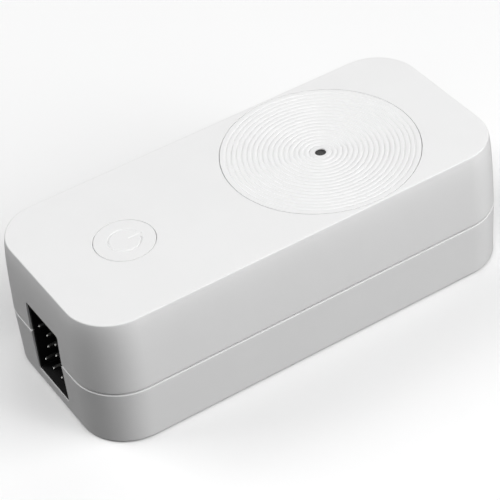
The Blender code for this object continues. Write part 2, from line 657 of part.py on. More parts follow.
def circuit_boards():
    header = [(HEADER_X, y, HEADER_PIN + 2 * GAP) for y in header_ys()]
    contacts = [(leg_x, y, CONTACT_SIZE + 2 * GAP) for _, y, _, leg_x in contact_places()]
    circuit_board("main_board", MAIN_BOARD_X, MAIN_BOARD_Z, main_board_posts(), header + contacts)
    circuit_board("sensor_board", SENSOR_BOARD_X, SENSOR_BOARD_Z, sensor_board_bosses(), header)


def board_header():
    """Two plastic strips and the long pins that join the boards."""
    half_length = HEADER_PINS * HEADER_PITCH / 2
    half_width = HEADER_PITCH / 2
    lower_low, upper_high = MAIN_TOP_Z + GAP, SENSOR_BOARD_Z - GAP
    strips = {"lower_header_strip": (lower_low, lower_low + HEADER_STRIP_HEIGHT),
              "upper_header_strip": (upper_high - HEADER_STRIP_HEIGHT, upper_high)}
    places = [(HEADER_X, y, HEADER_PIN + 2 * GAP) for y in header_ys()]
    for name, (low_z, high_z) in strips.items():
        strip = box(name, (HEADER_X - half_width, -half_length, low_z),
                    (HEADER_X + half_width, half_length, high_z), BLACK)
        holes = square_holes(name + "_holes", places, low_z - OVERCUT, high_z + OVERCUT)
        combine(strip, holes, "DIFFERENCE")
    half = HEADER_PIN / 2
    for number, y in enumerate(header_ys(), 1):
        box(f"header_pin_{number}", (HEADER_X - half, y - half, MAIN_BOARD_Z - PIN_STICK_OUT),
            (HEADER_X + half, y + half, SENSOR_TOP_Z + PIN_STICK_OUT), TIN)


def main_board_parts():
    """The larger parts on the main board: chips, can capacitors and the radio module."""
    seat = MAIN_TOP_Z + GAP
    chips = {
        "microcontroller": ((2, -6), (12, 4), 1.4, CHIP_BLACK),
        "crystal": ((-1.5, 9), (2, 14), 1.2, STEEL),
        "voltage_regulator": ((-30, -14), (-23.5, -7.5), 1.8, CHIP_BLACK),
        "power_inductor": ((-20, -4.5), (-15.5, 4.5), 3.6, CHIP_BLACK),
    }
    for name, (low, high, height, material) in chips.items():
        box(name, (low[0] * MM, low[1] * MM, seat), (high[0] * MM, high[1] * MM, seat + height * MM),
            material, bevel=CHIP_CHAMFER)
    neck_radius = CAPACITOR_RADIUS - CAPACITOR_NECK
    can = [(0, CAPACITOR_HEIGHT), (neck_radius, CAPACITOR_HEIGHT),
           (CAPACITOR_RADIUS, CAPACITOR_HEIGHT - CAPACITOR_NECK),
           (CAPACITOR_RADIUS, CAPACITOR_NECK_Z + CAPACITOR_NECK), (neck_radius, CAPACITOR_NECK_Z),
           (CAPACITOR_RADIUS, CAPACITOR_NECK_Z - CAPACITOR_NECK), (CAPACITOR_RADIUS, 0), (0, 0)]
    for number, y in enumerate(CAPACITOR_YS, 1):
        turned(f"filter_capacitor_{number}", [(radius, seat + z) for radius, z in can],
               CAN_ALUMINIUM, x=CAPACITOR_X, y=y, segments=20)

    (low_x, high_x), half = RADIO_X, RADIO_HALF_WIDTH
    board_high = seat + RADIO_BOARD_THICKNESS
    box("radio_board", (low_x, -half, seat), (high_x, half, board_high), BOARD_GREEN)
    shield_low = board_high + GAP
    box("radio_shield", (low_x + SHIELD_MARGIN, SHIELD_MARGIN - half, shield_low),
        (high_x - ANTENNA_LENGTH, half - SHIELD_MARGIN, shield_low + SHIELD_HEIGHT), CAN_ALUMINIUM,
        bevel=CHIP_CHAMFER)


# ---------------------------------------------------------------- end socket

def connector_housing():
    """Black shroud that fills the casing's opening and rests on the main board behind it."""
    housing = box("connector_housing", (SHROUD_X, -SHROUD_HALF_WIDTH, SHROUD_LOW_Z),
                  (SHROUD_BACK_X, SHROUD_HALF_WIDTH, SHROUD_HIGH_Z), BLACK)
    inner_half = SHROUD_HALF_WIDTH - SHROUD_WALL
    floor_x = SHROUD_X + SHROUD_DEPTH
    cavity = boxes("socket_cavity", [((SHROUD_X - OVERCUT, -inner_half, SHROUD_LOW_Z + SHROUD_WALL),
                                      (floor_x, inner_half, SHROUD_HIGH_Z - SHROUD_WALL))])
    combine(housing, cavity, "DIFFERENCE")
    behind_x = SHROUD_BACK_X + OVERCUT
    notch = boxes("board_notch", [((MAIN_BOARD_X[0] - GAP, -BOARD_NOTCH_HALF_WIDTH, 0),
                                   (behind_x, BOARD_NOTCH_HALF_WIDTH, MAIN_TOP_Z + GAP))])
    combine(housing, notch, "DIFFERENCE")
    half = CONTACT_SIZE / 2 + GAP
    holes = []
    for row, y, _, _ in contact_places():
        z = CONTACT_MIDDLE_Z + row * CONTACT_ROW
        holes.append(((floor_x - OVERCUT, y - half, z - half), (behind_x, y + half, z + half)))
    combine(housing, boxes("contact_holes", holes), "DIFFERENCE")


def socket_contacts():
    """Bent square contacts: a straight blade in the socket and a leg down through the board."""
    half = CONTACT_SIZE / 2
    for number, (row, y, tip_x, leg_x) in enumerate(contact_places(), 1):
        z = CONTACT_MIDDLE_Z + row * CONTACT_ROW
        bm = bmesh.new()
        add_box(bm, (tip_x, y - half, z - half), (leg_x + half, y + half, z + half))
        tip = [edge for edge in bm.edges
               if all(abs(vert.co.x - tip_x) < WELD for vert in edge.verts)]
        bmesh.ops.bevel(bm, geom=tip, offset=CONTACT_CHAMFER, segments=1, affect="EDGES")
        contact = object_from(bm, f"socket_contact_{number}", TIN)
        leg = boxes(f"contact_leg_{number}", [((leg_x - half, y - half, MAIN_BOARD_Z - PIN_STICK_OUT),
                                               (leg_x + half, y + half, z))])
        combine(contact, leg, "UNION")


# ---------------------------------------------------------------- fasteners and feet

def screw(name, x, y, head, shaft_end, head_radius, shaft_radius):
    """Cross-recessed pan-head screw. head is (z of its crown, z of its seat)."""
    crown, seat = head
    height = seat - crown
    profile = [(0, crown), (head_radius * 0.75, crown), (head_radius, crown + 0.35 * height),
               (head_radius, seat), (shaft_radius, seat), (shaft_radius, shaft_end), (0, shaft_end)]
    if height > 0:
        profile.reverse()
    body = turned(name, profile, STEEL, x=x, y=y, segments=16)
    low_z, high_z = sorted((crown - 0.5 * height, crown + 0.5 * height))
    long_side, short_side = head_radius * 0.55, head_radius * 0.14
    for suffix, half_x, half_y in (("_slot_a", long_side, short_side), ("_slot_b", short_side, long_side)):
        slot = boxes(name + suffix, [((x - half_x, y - half_y, low_z), (x + half_x, y + half_y, high_z))])
        combine(body, slot, "DIFFERENCE")


def fasteners():
    main_seat, sensor_seat = MAIN_TOP_Z + GAP, SENSOR_BOARD_Z - GAP
    for number, (x, y) in enumerate(corner_bosses(), 1):
        screw(f"case_screw_{number}", x, y, (CASE_HEAD_Z, CASE_HEAD_Z + CASE_HEAD_HEIGHT),
              CASE_SHAFT_TOP_Z, CASE_HEAD_RADIUS, CASE_SHAFT_RADIUS)
    for number, (x, y) in enumerate(main_board_posts(), 1):
        screw(f"main_board_screw_{number}", x, y, (main_seat + BOARD_HEAD_HEIGHT, main_seat),
              MAIN_SHAFT_LOW_Z, BOARD_HEAD_RADIUS, BOARD_SHAFT_RADIUS)
    for number, (x, y) in enumerate(sensor_board_bosses(), 1):
        screw(f"sensor_board_screw_{number}", x, y, (sensor_seat - BOARD_HEAD_HEIGHT, sensor_seat),
              SENSOR_SHAFT_TOP_Z, BOARD_HEAD_RADIUS, BOARD_SHAFT_RADIUS)


def rubber_feet():
    top_z = BASE_Z + FOOT_POCKET - GAP
    for number, (x, y) in enumerate(foot_places(), 1):
        turned(f"rubber_foot_{number}", ((0, top_z), (FOOT_RADIUS, top_z), (FOOT_RADIUS, FOOT_EDGE),
                                         (FOOT_RADIUS - FOOT_EDGE, 0), (0, 0)),
               FOOT_RUBBER, x=x, y=y)


upper_casing()
lower_casing()
ripple_cover()
air_path()
tactile_switch(button_cap())
circuit_boards()
board_header()
main_board_parts()
connector_housing()
socket_contacts()
fasteners()
rubber_feet()
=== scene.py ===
"""Looks of the climate sensor control box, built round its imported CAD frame.

A satin white two-part casing with a rippled sensor cover, a power button and a dark end socket.
Units are metres, +Z is up, +X points away from the socket end and -Y is the front long side.
"""
import math

import bmesh
import bpy
from mathutils import Matrix, Vector


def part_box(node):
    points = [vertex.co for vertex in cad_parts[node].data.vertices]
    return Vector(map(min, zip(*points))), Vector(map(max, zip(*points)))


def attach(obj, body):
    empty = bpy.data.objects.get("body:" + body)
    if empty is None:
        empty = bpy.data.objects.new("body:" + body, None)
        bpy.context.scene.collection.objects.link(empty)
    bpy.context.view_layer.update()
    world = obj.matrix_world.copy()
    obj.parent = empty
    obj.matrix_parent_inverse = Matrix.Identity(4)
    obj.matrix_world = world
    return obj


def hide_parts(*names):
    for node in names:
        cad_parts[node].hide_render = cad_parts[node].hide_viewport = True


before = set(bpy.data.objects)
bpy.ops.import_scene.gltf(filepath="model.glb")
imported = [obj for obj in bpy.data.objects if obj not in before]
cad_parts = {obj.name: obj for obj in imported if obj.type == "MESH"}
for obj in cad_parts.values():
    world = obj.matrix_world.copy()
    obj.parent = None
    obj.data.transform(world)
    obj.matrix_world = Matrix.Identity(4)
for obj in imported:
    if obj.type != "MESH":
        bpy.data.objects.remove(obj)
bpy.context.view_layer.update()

MM = 0.001
GLOW_REACH = 1.2 * MM                   # how far light spreads inside the white plastic

# Places and sizes read from the frame
UPPER_LOW, UPPER_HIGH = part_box("upper_casing")
LOWER_LOW, LOWER_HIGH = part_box("lower_casing")
COVER_LOW, COVER_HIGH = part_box("ripple_cover")
BUTTON_LOW, BUTTON_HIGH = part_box("button_cap")
SHROUD_LOW, SHROUD_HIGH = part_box("connector_housing")
TOP_Z = UPPER_HIGH.z
BASE_Z = LOWER_LOW.z
HALF_LENGTH = UPPER_HIGH.x
HALF_WIDTH = UPPER_HIGH.y
PARTING_HIGH = UPPER_LOW.z              # lower edge of the upper casing
COVER_X = (COVER_LOW.x + COVER_HIGH.x) / 2
COVER_RADIUS = (COVER_HIGH.x - COVER_LOW.x) / 2
BUTTON_X = (BUTTON_LOW.x + BUTTON_HIGH.x) / 2
BUTTON_FLANGE_RADIUS = (BUTTON_HIGH.x - BUTTON_LOW.x) / 2

# Casing
PARTING_GAP = 0.4 * MM
PARTING_LOW = PARTING_HIGH - PARTING_GAP    # upper edge of the lower casing's outer wall
CORNER_RADIUS = 13.4 * MM
CORNER_STEPS = 28
UPPER_DRAFT = 1.15 * MM
DRAFT_CURVE = ((0.35, 1), (0.4, 3), (0.25, 9))      # (share of the draft, power of the height)
LOWER_DRAFT = 0.3 * MM
RIM_RADIUS = 0.35 * MM
BASE_RADIUS = 0.15 * MM
UPPER_EDGE_RADIUS = 0.4 * MM            # lower edge of the upper casing
LOWER_EDGE_RADIUS = 0.2 * MM            # upper edge of the lower casing
WALL_STEPS = 24
WALL = 2.0 * MM
ROOF = 3.0 * MM
FLOOR = 2.0 * MM
LIP = 1.1 * MM
GAP = 0.3 * MM
TONGUE_HEIGHT = LOWER_HIGH.z - PARTING_LOW
TONGUE_ROOT = 3.0 * MM                  # how far the tongue reaches down into the wall
WELD = 0.8 * MM                         # how far a post reaches into the roof or the floor
OVERCUT = 1.0 * MM                      # how far a cutter reaches past a face
CASE_PILLAR_RADIUS = 3.4 * MM
CASE_PILOT_RADIUS = 1.55 * MM
CASE_PILOT_TOP_Z = BASE_Z + 24.5 * MM
CASE_POST_RADIUS = 3.8 * MM
CASE_HOLE_RADIUS = 1.7 * MM
COUNTERBORE_RADIUS = 3.0 * MM
COUNTERBORE_DEPTH = 7.0 * MM
SENSOR_PILLAR_RADIUS = 2.6 * MM
SENSOR_PILOT_END = 0.6 * MM             # below the underside of the roof
MAIN_POST_RADIUS = 2.8 * MM
MAIN_HOLE_END = 0.7 * MM                # below the top of the floor
BOARD_PILOT_RADIUS = 1.3 * MM
COLLAR_OUTER_RADIUS = 10.6 * MM
COLLAR_INNER_RADIUS = 9.3 * MM
COLLAR_HEIGHT = 2.4 * MM

# Rippled cover
COVER_DISC_RADIUS = COVER_RADIUS + 0.08 * MM
COVER_HOLE_RADIUS = COVER_RADIUS + 0.22 * MM
TOP_EDGE_RADIUS = 0.1 * MM              # of the cover, the button and their holes
COVER_RECESS = 1.6 * MM
COVER_OPENING_RADIUS = 22.0 * MM
SPIGOT_CLEARANCE = 0.5 * MM
COVER_STEPS = 192
BUTTON_STEPS = 96
RIPPLE_COUNT = 17
RIPPLE_PITCH = 1.32 * MM
RIPPLE_INNER_RADIUS = 2.9 * MM
RIPPLE_WIDTH = 0.66 * MM
RIPPLE_DEPTH = 0.2 * MM
RIPPLE_POINTS = 8
DISH_RADIUS = RIPPLE_INNER_RADIUS + (RIPPLE_COUNT - 0.5) * RIPPLE_PITCH
DISH_DEPTH = 0.8 * MM
COVER_UNDERSIDE_Z = TOP_Z - 2.6 * MM
AIR_HOLE_RADIUS = 1.45 * MM
AIR_HOLE_EDGE = 0.12 * MM
AIR_HOLE_SKIN = 0.4 * MM
NOZZLE_RADIUS = 3.4 * MM
MEMBRANE_SEAT_RADIUS = 2.7 * MM
SNAP_LEGS = 3
SNAP_HALF_WIDTH = 3.0 * MM
SNAP_LEG_X = (19.6 * MM, 21.2 * MM)     # measured from the cover's axis, as is the barb
SNAP_BARB_X = (20.4 * MM, 22.7 * MM)
SNAP_WELD = 0.5 * MM

# Power button
BUTTON_RADIUS = 7.74 * MM
BUTTON_HOLE_RADIUS = 7.86 * MM
BUTTON_FLANGE = 1.0 * MM
BUTTON_FOOT_RADIUS = 2.2 * MM
SYMBOL_RADIUS = 4.1 * MM
SYMBOL_LINE = 0.7 * MM
SYMBOL_DEPTH = 0.3 * MM
SYMBOL_GAP_ANGLE = math.radians(16.0)
SYMBOL_BAR_X = (1.2 * MM, 4.7 * MM)
SYMBOL_STEPS = 96
SYMBOL_POINTS = 8

# End socket
SOCKET_HALF_WIDTH = 8.0 * MM
SOCKET_STEP = 0.15 * MM
SOCKET_CUT_DEPTH = 6.0 * MM
SOCKET_CORNER_RADIUS = 0.8 * MM
SOCKET_LOW_Z = SHROUD_LOW.z - GAP
SOCKET_HIGH_Z = SHROUD_HIGH.z + GAP
SHROUD_WALL = 0.9 * MM
SHROUD_DEPTH = 11.4 * MM
SHROUD_EDGE = 0.1 * MM
NOTCH_HALF_WIDTH = 10.0 * MM
CONTACTS = 8
CONTACT_BEND = 1.0                      # radius of the bend, in contact sizes
CONTACT_TAPER = 0.6                     # length of the point, in contact sizes
CONTACT_TIP = 0.45                      # width of the very tip, in contact sizes

# Case screws and feet
SCREW_HEAD_HEIGHT = 2.0 * MM
SCREW_ROOT_RADIUS = 0.95 * MM
SCREW_CREST_RADIUS = 1.25 * MM
SCREW_PITCH = 1.0 * MM
CROSS_LENGTH = 0.55                     # length and width of the cross, in head radii
CROSS_WIDTH = 0.15
CROSS_DEPTH = 0.55                      # in head heights
FOOT_EDGE = 0.3 * MM
FOOT_RING_RADIUS = 2.6 * MM
FOOT_RING_WIDTH = 0.8 * MM
FOOT_RING_DEPTH = 0.2 * MM

# Camera: the angle and framing of a catalogue view from above the socket end
LENGTH = 2 * HALF_LENGTH
CAMERA_AZIMUTH = math.radians(-28.55)
CAMERA_ELEVATION = math.radians(40.206)
CAMERA_ROLL = math.radians(-6.229)
CAMERA_DISTANCE = 4.2612 * LENGTH
CAMERA_SIDEWAYS = -0.02526 * LENGTH
CAMERA_UPWARDS = 0.0918 * LENGTH
CAMERA_LENS = 144.76


# Studio: soft boxes as (azimuth, elevation, power); azimuth 0 shines from the front, 90 from +X
SOFT_BOXES = ((-135, 40, 10.1), (-45, 30, 1.6), (0, 60, 6.2), (20, 12, 4.9), (45, 30, 9.9),
              (135, 40, 2.5))
SOFT_BOX_SIZE = 0.9
SOFT_BOX_DISTANCE = 1.3
WORLD_STRENGTH = 0.03


# ---------------------------------------------------------------- materials

def shader_tree(name):
    material = bpy.data.materials.new(name)
    material.use_nodes = True
    tree = material.node_tree
    return material, tree, tree.nodes["Principled BSDF"]


def object_coordinates(tree, stretch=(1.0, 1.0, 1.0)):
    """The object's own coordinates, stretched along one axis for brushed or drawn grain."""
    source = tree.nodes.new("ShaderNodeTexCoord")
    mapping = tree.nodes.new("ShaderNodeMapping")
    mapping.inputs["Scale"].default_value = stretch
    tree.links.new(source.outputs["Object"], mapping.inputs["Vector"])
    return mapping.outputs["Vector"]


def noise(tree, vector, size, detail=2.0, roughness=0.5):
    """Noise whose features are about size metres across."""
    node = tree.nodes.new("ShaderNodeTexNoise")
    node.inputs["Scale"].default_value = 1.0 / size
    node.inputs["Detail"].default_value = detail
    node.inputs["Roughness"].default_value = roughness
    tree.links.new(vector, node.inputs["Vector"])
    return node.outputs["Fac"]


def ramp(tree, value, low, high, colors):
    """Blend two colours as value goes from low to high."""
    node = tree.nodes.new("ShaderNodeValToRGB")
    node.color_ramp.elements[0].position = low
    node.color_ramp.elements[1].position = high
    for element, color in zip(node.color_ramp.elements, colors):
        element.color = (*color, 1.0)
    tree.links.new(value, node.inputs["Fac"])
    return node.outputs["Color"]


def spread(tree, value, low, high):
    """Stretch a noise value, which lies mostly between 0.3 and 0.7, over low to high."""
    node = tree.nodes.new("ShaderNodeMapRange")
    node.inputs["From Min"].default_value = 0.3
    node.inputs["From Max"].default_value = 0.7
    node.inputs["To Min"].default_value = low
    node.inputs["To Max"].default_value = high
    tree.links.new(value, node.inputs["Value"])
    return node.outputs["Result"]


def bump(tree, shader, height, distance, strength=1.0):
    node = tree.nodes.new("ShaderNodeBump")
    node.inputs["Strength"].default_value = strength
    node.inputs["Distance"].default_value = distance
    tree.links.new(height, node.inputs["Height"])
    tree.links.new(node.outputs["Normal"], shader.inputs["Normal"])


def moulded_plastic(name, shade, spread_of_shade, roughness, grain_size, grain_depth, specular=0.5,
                    glow=0.0):
    """Satin moulded plastic: a spark-eroded grain, faint flow clouds and uneven gloss.

    glow is how much of the light spreads inside the plastic before it leaves.
    """
    material, tree, shader = shader_tree(name)
    vector = object_coordinates(tree)
    clouds = noise(tree, vector, 14 * MM, detail=3.0)
    low, high = (tuple(c * (1 + side * spread_of_shade) for c in shade) for side in (-1, 1))
    color = ramp(tree, clouds, 0.35, 0.65, (low, high))
    tree.links.new(color, shader.inputs["Base Color"])
    grain = noise(tree, vector, grain_size, detail=4.0, roughness=0.6)
    gloss = noise(tree, vector, 3 * MM, detail=3.0)
    tree.links.new(spread(tree, gloss, roughness - 0.05, roughness + 0.05),
                   shader.inputs["Roughness"])
    bump(tree, shader, grain, grain_depth, 0.5)
    shader.inputs["Specular IOR Level"].default_value = specular
    shader.inputs["Subsurface Weight"].default_value = glow
    shader.inputs["Subsurface Radius"].default_value = (1.0, 1.0, 1.0)
    shader.inputs["Subsurface Scale"].default_value = GLOW_REACH
    return material


def metal(name, shade, roughness, grain_size, stretch=(1.0, 1.0, 1.0)):
    """Plated or drawn metal with a fine directional grain and a little dulling."""
    material, tree, shader = shader_tree(name)
    vector = object_coordinates(tree, stretch)
    grain = noise(tree, vector, grain_size, detail=5.0, roughness=0.65)
    dull = tuple(c * 0.82 for c in shade)
    color = ramp(tree, grain, 0.3, 0.7, (dull, shade))
    tree.links.new(color, shader.inputs["Base Color"])
    tree.links.new(spread(tree, grain, roughness - 0.08, roughness + 0.1),
                   shader.inputs["Roughness"])
    shader.inputs["Metallic"].default_value = 1.0
    bump(tree, shader, grain, 0.01 * MM, 0.3)
    return material


def rubber(name, shade, grain_size):
    """Matt moulded rubber with bloom in its pores."""
    material, tree, shader = shader_tree(name)
    vector = object_coordinates(tree)
    grain = noise(tree, vector, grain_size, detail=4.0, roughness=0.7)
    bloom = tuple(c * 1.35 for c in shade)
    tree.links.new(ramp(tree, grain, 0.4, 0.75, (shade, bloom)), shader.inputs["Base Color"])
    tree.links.new(spread(tree, grain, 0.8, 0.92), shader.inputs["Roughness"])
    bump(tree, shader, grain, 0.03 * MM, 0.5)
    return material


def solder_mask(name):
    """Green lacquer over copper tracks and glass weave."""
    material, tree, shader = shader_tree(name)
    vector = object_coordinates(tree)
    tracks = tree.nodes.new("ShaderNodeTexBrick")
    tracks.inputs["Scale"].default_value = 90.0
    tracks.inputs["Mortar Size"].default_value = 0.05
    tracks.inputs["Color1"].default_value = (0.025, 0.15, 0.06, 1.0)
    tracks.inputs["Color2"].default_value = (0.03, 0.17, 0.07, 1.0)
    tracks.inputs["Mortar"].default_value = (0.05, 0.25, 0.11, 1.0)
    tree.links.new(vector, tracks.inputs["Vector"])
    tree.links.new(tracks.outputs["Color"], shader.inputs["Base Color"])
    weave = noise(tree, vector, 0.4 * MM, detail=3.0)
    tree.links.new(spread(tree, weave, 0.28, 0.42), shader.inputs["Roughness"])
    bump(tree, shader, tracks.outputs["Fac"], 0.035 * MM, 0.6)
    return material


def membrane_fabric(name):
    """Pale porous membrane: fine crossed fibres."""
    material, tree, shader = shader_tree(name)
    vector = object_coordinates(tree)
    fibres = tree.nodes.new("ShaderNodeTexVoronoi")
    fibres.inputs["Scale"].default_value = 1.0 / (0.12 * MM)
    tree.links.new(vector, fibres.inputs["Vector"])
    color = ramp(tree, fibres.outputs["Distance"], 0.0, 0.8, ((0.1, 0.1, 0.1), (0.05, 0.05, 0.05)))
    tree.links.new(color, shader.inputs["Base Color"])
    tree.links.new(spread(tree, fibres.outputs["Distance"], 0.85, 0.95), shader.inputs["Roughness"])
    bump(tree, shader, fibres.outputs["Distance"], 0.03 * MM, 0.6)
    return material


WHITE = (0.83, 0.83, 0.83)
GLOW = 0.22                             # share of the light that spreads inside the plastic
MATERIALS = {
    "white_casing": moulded_plastic("satin_white_casing", WHITE, 0.006, 0.46, 0.35 * MM, 0.012 * MM,
                                    glow=GLOW),
    "white_cover": moulded_plastic("satin_white_cover", (0.84, 0.84, 0.84), 0.006, 0.42, 0.3 * MM,
                                   0.008 * MM, glow=GLOW),
    "white_button": moulded_plastic("satin_white_button", WHITE, 0.006, 0.4, 0.3 * MM, 0.008 * MM,
                                    glow=GLOW),
    "black_plastic": moulded_plastic("dull_black_plastic", (0.008, 0.008, 0.0085), 0.15, 0.5,
                                     0.3 * MM, 0.02 * MM, specular=0.3),
    "board_laminate": solder_mask("solder_mask_green"),
    "chip_resin": moulded_plastic("moulded_chip_resin", (0.02, 0.02, 0.022), 0.2, 0.55, 0.15 * MM,
                                  0.02 * MM),
    "tinned_contact": metal("tinned_contact_metal", (0.3, 0.3, 0.29), 0.34, 0.2 * MM,
                            (0.1, 1.0, 1.0)),
    "zinc_steel": metal("zinc_plated_steel", (0.58, 0.58, 0.6), 0.32, 0.25 * MM),
    "spring_steel": metal("rolled_spring_steel", (0.5, 0.5, 0.5), 0.3, 0.2 * MM, (0.15, 1.0, 1.0)),
    "foot_rubber": rubber("dark_foot_rubber", (0.07, 0.07, 0.073), 0.3 * MM),
    "sleeve_rubber": rubber("grey_sleeve_rubber", (0.3, 0.3, 0.31), 0.3 * MM),
    "membrane_fabric": membrane_fabric("porous_membrane"),
    "can_aluminium": metal("drawn_aluminium", (0.72, 0.72, 0.74), 0.3, 0.3 * MM, (1.0, 1.0, 0.12)),
}


# ---------------------------------------------------------------- mesh helpers

def piece_from(bm, name):
    bmesh.ops.recalc_face_normals(bm, faces=bm.faces)
    mesh = bpy.data.meshes.new(name)
    bm.to_mesh(mesh)
    bm.free()
    obj = bpy.data.objects.new(name, mesh)
    bpy.context.scene.collection.objects.link(obj)
    return obj


def apply_modifiers(obj):
    """Bake the modifier stack into the mesh."""
    graph = bpy.context.evaluated_depsgraph_get()
    mesh = bpy.data.meshes.new_from_object(obj.evaluated_get(graph))
    old = obj.data
    obj.modifiers.clear()
    obj.data = mesh
    bpy.data.meshes.remove(old)


def combine(target, tool, operation):
    """Cut the tool out of the target, or weld it on, and drop the tool."""
    modifier = target.modifiers.new("combine", "BOOLEAN")
    modifier.operation = operation
    modifier.solver = "EXACT"
    modifier.object = tool
    apply_modifiers(target)
    bpy.data.objects.remove(tool, do_unlink=True)


def outline_level_faces(mesh):
    """Mark the edges round the level faces sharp, so that no curve next to them tints them."""
    bm = bmesh.new()
    bm.from_mesh(mesh)
    for edge in bm.edges:
        level = [abs(face.normal.z) > 0.99999 for face in edge.link_faces]
        if any(level) and not all(level):
            edge.smooth = False
    bm.to_mesh(mesh)
    bm.free()


def shade(obj, slot, angle=35.0, weighted=True, crisp=False):
    """Smooth shading that keeps flat faces flat, and the slot's material."""
    obj.data.shade_smooth()
    obj.data.set_sharp_from_angle(angle=math.radians(angle))
    if crisp:
        outline_level_faces(obj.data)
    if weighted:
        modifier = obj.modifiers.new("flat_faces", "WEIGHTED_NORMAL")
        modifier.keep_sharp = True
        modifier.weight = 80
    obj.data.materials.clear()
    obj.data.materials.append(MATERIALS[slot])


def stands_for(obj, node, body, slot, **shading):
    """Finish a piece that is shown in place of one CAD node."""
    shade(obj, slot, **shading)
    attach(obj, body)
    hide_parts(node)


def arc(centre, radius, start, stop, steps):
    """Points (u, v) along an arc, angles in degrees."""
    points = []
    for step in range(steps + 1):
        turn = math.radians(start + (stop - start) * step / steps)
        points.append((centre[0] + radius * math.cos(turn), centre[1] + radius * math.sin(turn)))
    return points


def add_ring_stack(bm, half_length, half_width, radius, levels, steps=CORNER_STEPS):
    """A solid with round vertical corners, made of rounded rectangles at (inset, z) levels."""
    rings = []
    for inset, z in levels:
        ring = []
        corner = radius - inset
        for quarter, (side_x, side_y) in enumerate(((1, 1), (-1, 1), (-1, -1), (1, -1))):
            centre = (side_x * (half_length - radius), side_y * (half_width - radius))
            for x, y in arc(centre, corner, 90 * quarter, 90 * quarter + 90, steps):
                ring.append(bm.verts.new((x, y, z)))
        rings.append(ring)
    count = len(rings[0])
    for low, high in zip(rings, rings[1:]):
        for index in range(count):
            after = (index + 1) % count
            bm.faces.new((low[index], low[after], high[after], high[index]))
    bm.faces.new(rings[0])
    bm.faces.new(rings[-1])


def ring_stack(name, inset, levels, steps=CORNER_STEPS):
    """A stack that follows the casing's outline at a distance inside it."""
    bm = bmesh.new()
    add_ring_stack(bm, HALF_LENGTH - inset, HALF_WIDTH - inset, CORNER_RADIUS - inset, levels, steps)
    return piece_from(bm, name)


def add_turned(bm, profile, steps, x=0.0, y=0.0):
    """A body of revolution about a vertical axis from closed (radius, z) points."""
    rows = []
    for radius, z in profile:
        if radius < 1e-9:
            rows.append([bm.verts.new((x, y, z))])
            continue
        rows.append([bm.verts.new((x + radius * math.cos(math.tau * step / steps),
                                   y + radius * math.sin(math.tau * step / steps), z))
                     for step in range(steps)])
    closed = len(rows[0]) > 1 or len(rows[-1]) > 1
    pairs = list(zip(rows, rows[1:])) + ([(rows[-1], rows[0])] if closed else [])
    for first, second in pairs:
        if len(first) == 1 and len(second) == 1:
            continue
        for step in range(steps):
            after = (step + 1) % steps
            corners = []
            for row, indices in ((first, (step, after)), (second, (after, step))):
                corners += [row[0]] if len(row) == 1 else [row[i] for i in indices]
            bm.faces.new(corners)


def turned(name, profile, steps, x=0.0, y=0.0):
    bm = bmesh.new()
    add_turned(bm, profile, steps, x, y)
    return piece_from(bm, name)


def add_box(bm, low, high):
    low, high = Vector(low), Vector(high)
    made = bmesh.ops.create_cube(bm, size=1.0)
    place = Matrix.Translation((low + high) / 2) @ Matrix.Diagonal((*(high - low), 1.0))
    bmesh.ops.transform(bm, matrix=place, verts=made["verts"])
    return made["verts"]


def cylinders(name, rows, steps):
    """Separate upright cylinders in one object: rows of (x, y, low z, high z, radius)."""
    bm = bmesh.new()
    for x, y, low_z, high_z, radius in rows:
        add_turned(bm, [(0, high_z), (radius, high_z), (radius, low_z), (0, low_z)], steps, x, y)
    return piece_from(bm, name)


# ---------------------------------------------------------------- casing

def node_middles(prefix, count):
    """(x, y) of each numbered node, such as the screws."""
    places = []
    for number in range(1, count + 1):
        low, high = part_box(f"{prefix}_{number}")
        places.append(((low.x + high.x) / 2, (low.y + high.y) / 2))
    return places


CASE_SCREWS = node_middles("case_screw", 4)
MAIN_SCREWS = node_middles("main_board_screw", 4)
SENSOR_SCREWS = node_middles("sensor_board_screw", 4)
FEET = node_middles("rubber_foot", 4)
SENSOR_BOARD_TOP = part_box("sensor_board")[1].z
MAIN_BOARD_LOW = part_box("main_board")[0].z
FOOT_RADIUS = (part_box("rubber_foot_1")[1].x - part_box("rubber_foot_1")[0].x) / 2
FOOT_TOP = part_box("rubber_foot_1")[1].z


def socket_cut(name, half_width):
    """Cutter for the socket's rectangular opening, with small round corners."""
    bm = bmesh.new()
    add_box(bm, (-HALF_LENGTH - 2 * OVERCUT, -half_width, SOCKET_LOW_Z),
            (-HALF_LENGTH + SOCKET_CUT_DEPTH, half_width, SOCKET_HIGH_Z))
    along = [edge for edge in bm.edges
             if abs(edge.verts[0].co.x - edge.verts[1].co.x) > SOCKET_CUT_DEPTH - OVERCUT]
    bmesh.ops.bevel(bm, geom=along, offset=SOCKET_CORNER_RADIUS, segments=8, profile=0.5, affect="EDGES")
    return piece_from(bm, name)


def soft_edged_hole(radius, low_z, high_z, steps, x):
    """Cutter for a round hole in the roof whose edge is rounded over."""
    edge = TOP_EDGE_RADIUS
    mouth = [(radius + edge + u, TOP_Z - edge + v) for u, v in arc((0, 0), edge, 90, 180, 4)]
    return turned("hole", [(0, high_z), (radius + edge, high_z), *mouth, (radius, low_z), (0, low_z)],
                  steps, x=x)


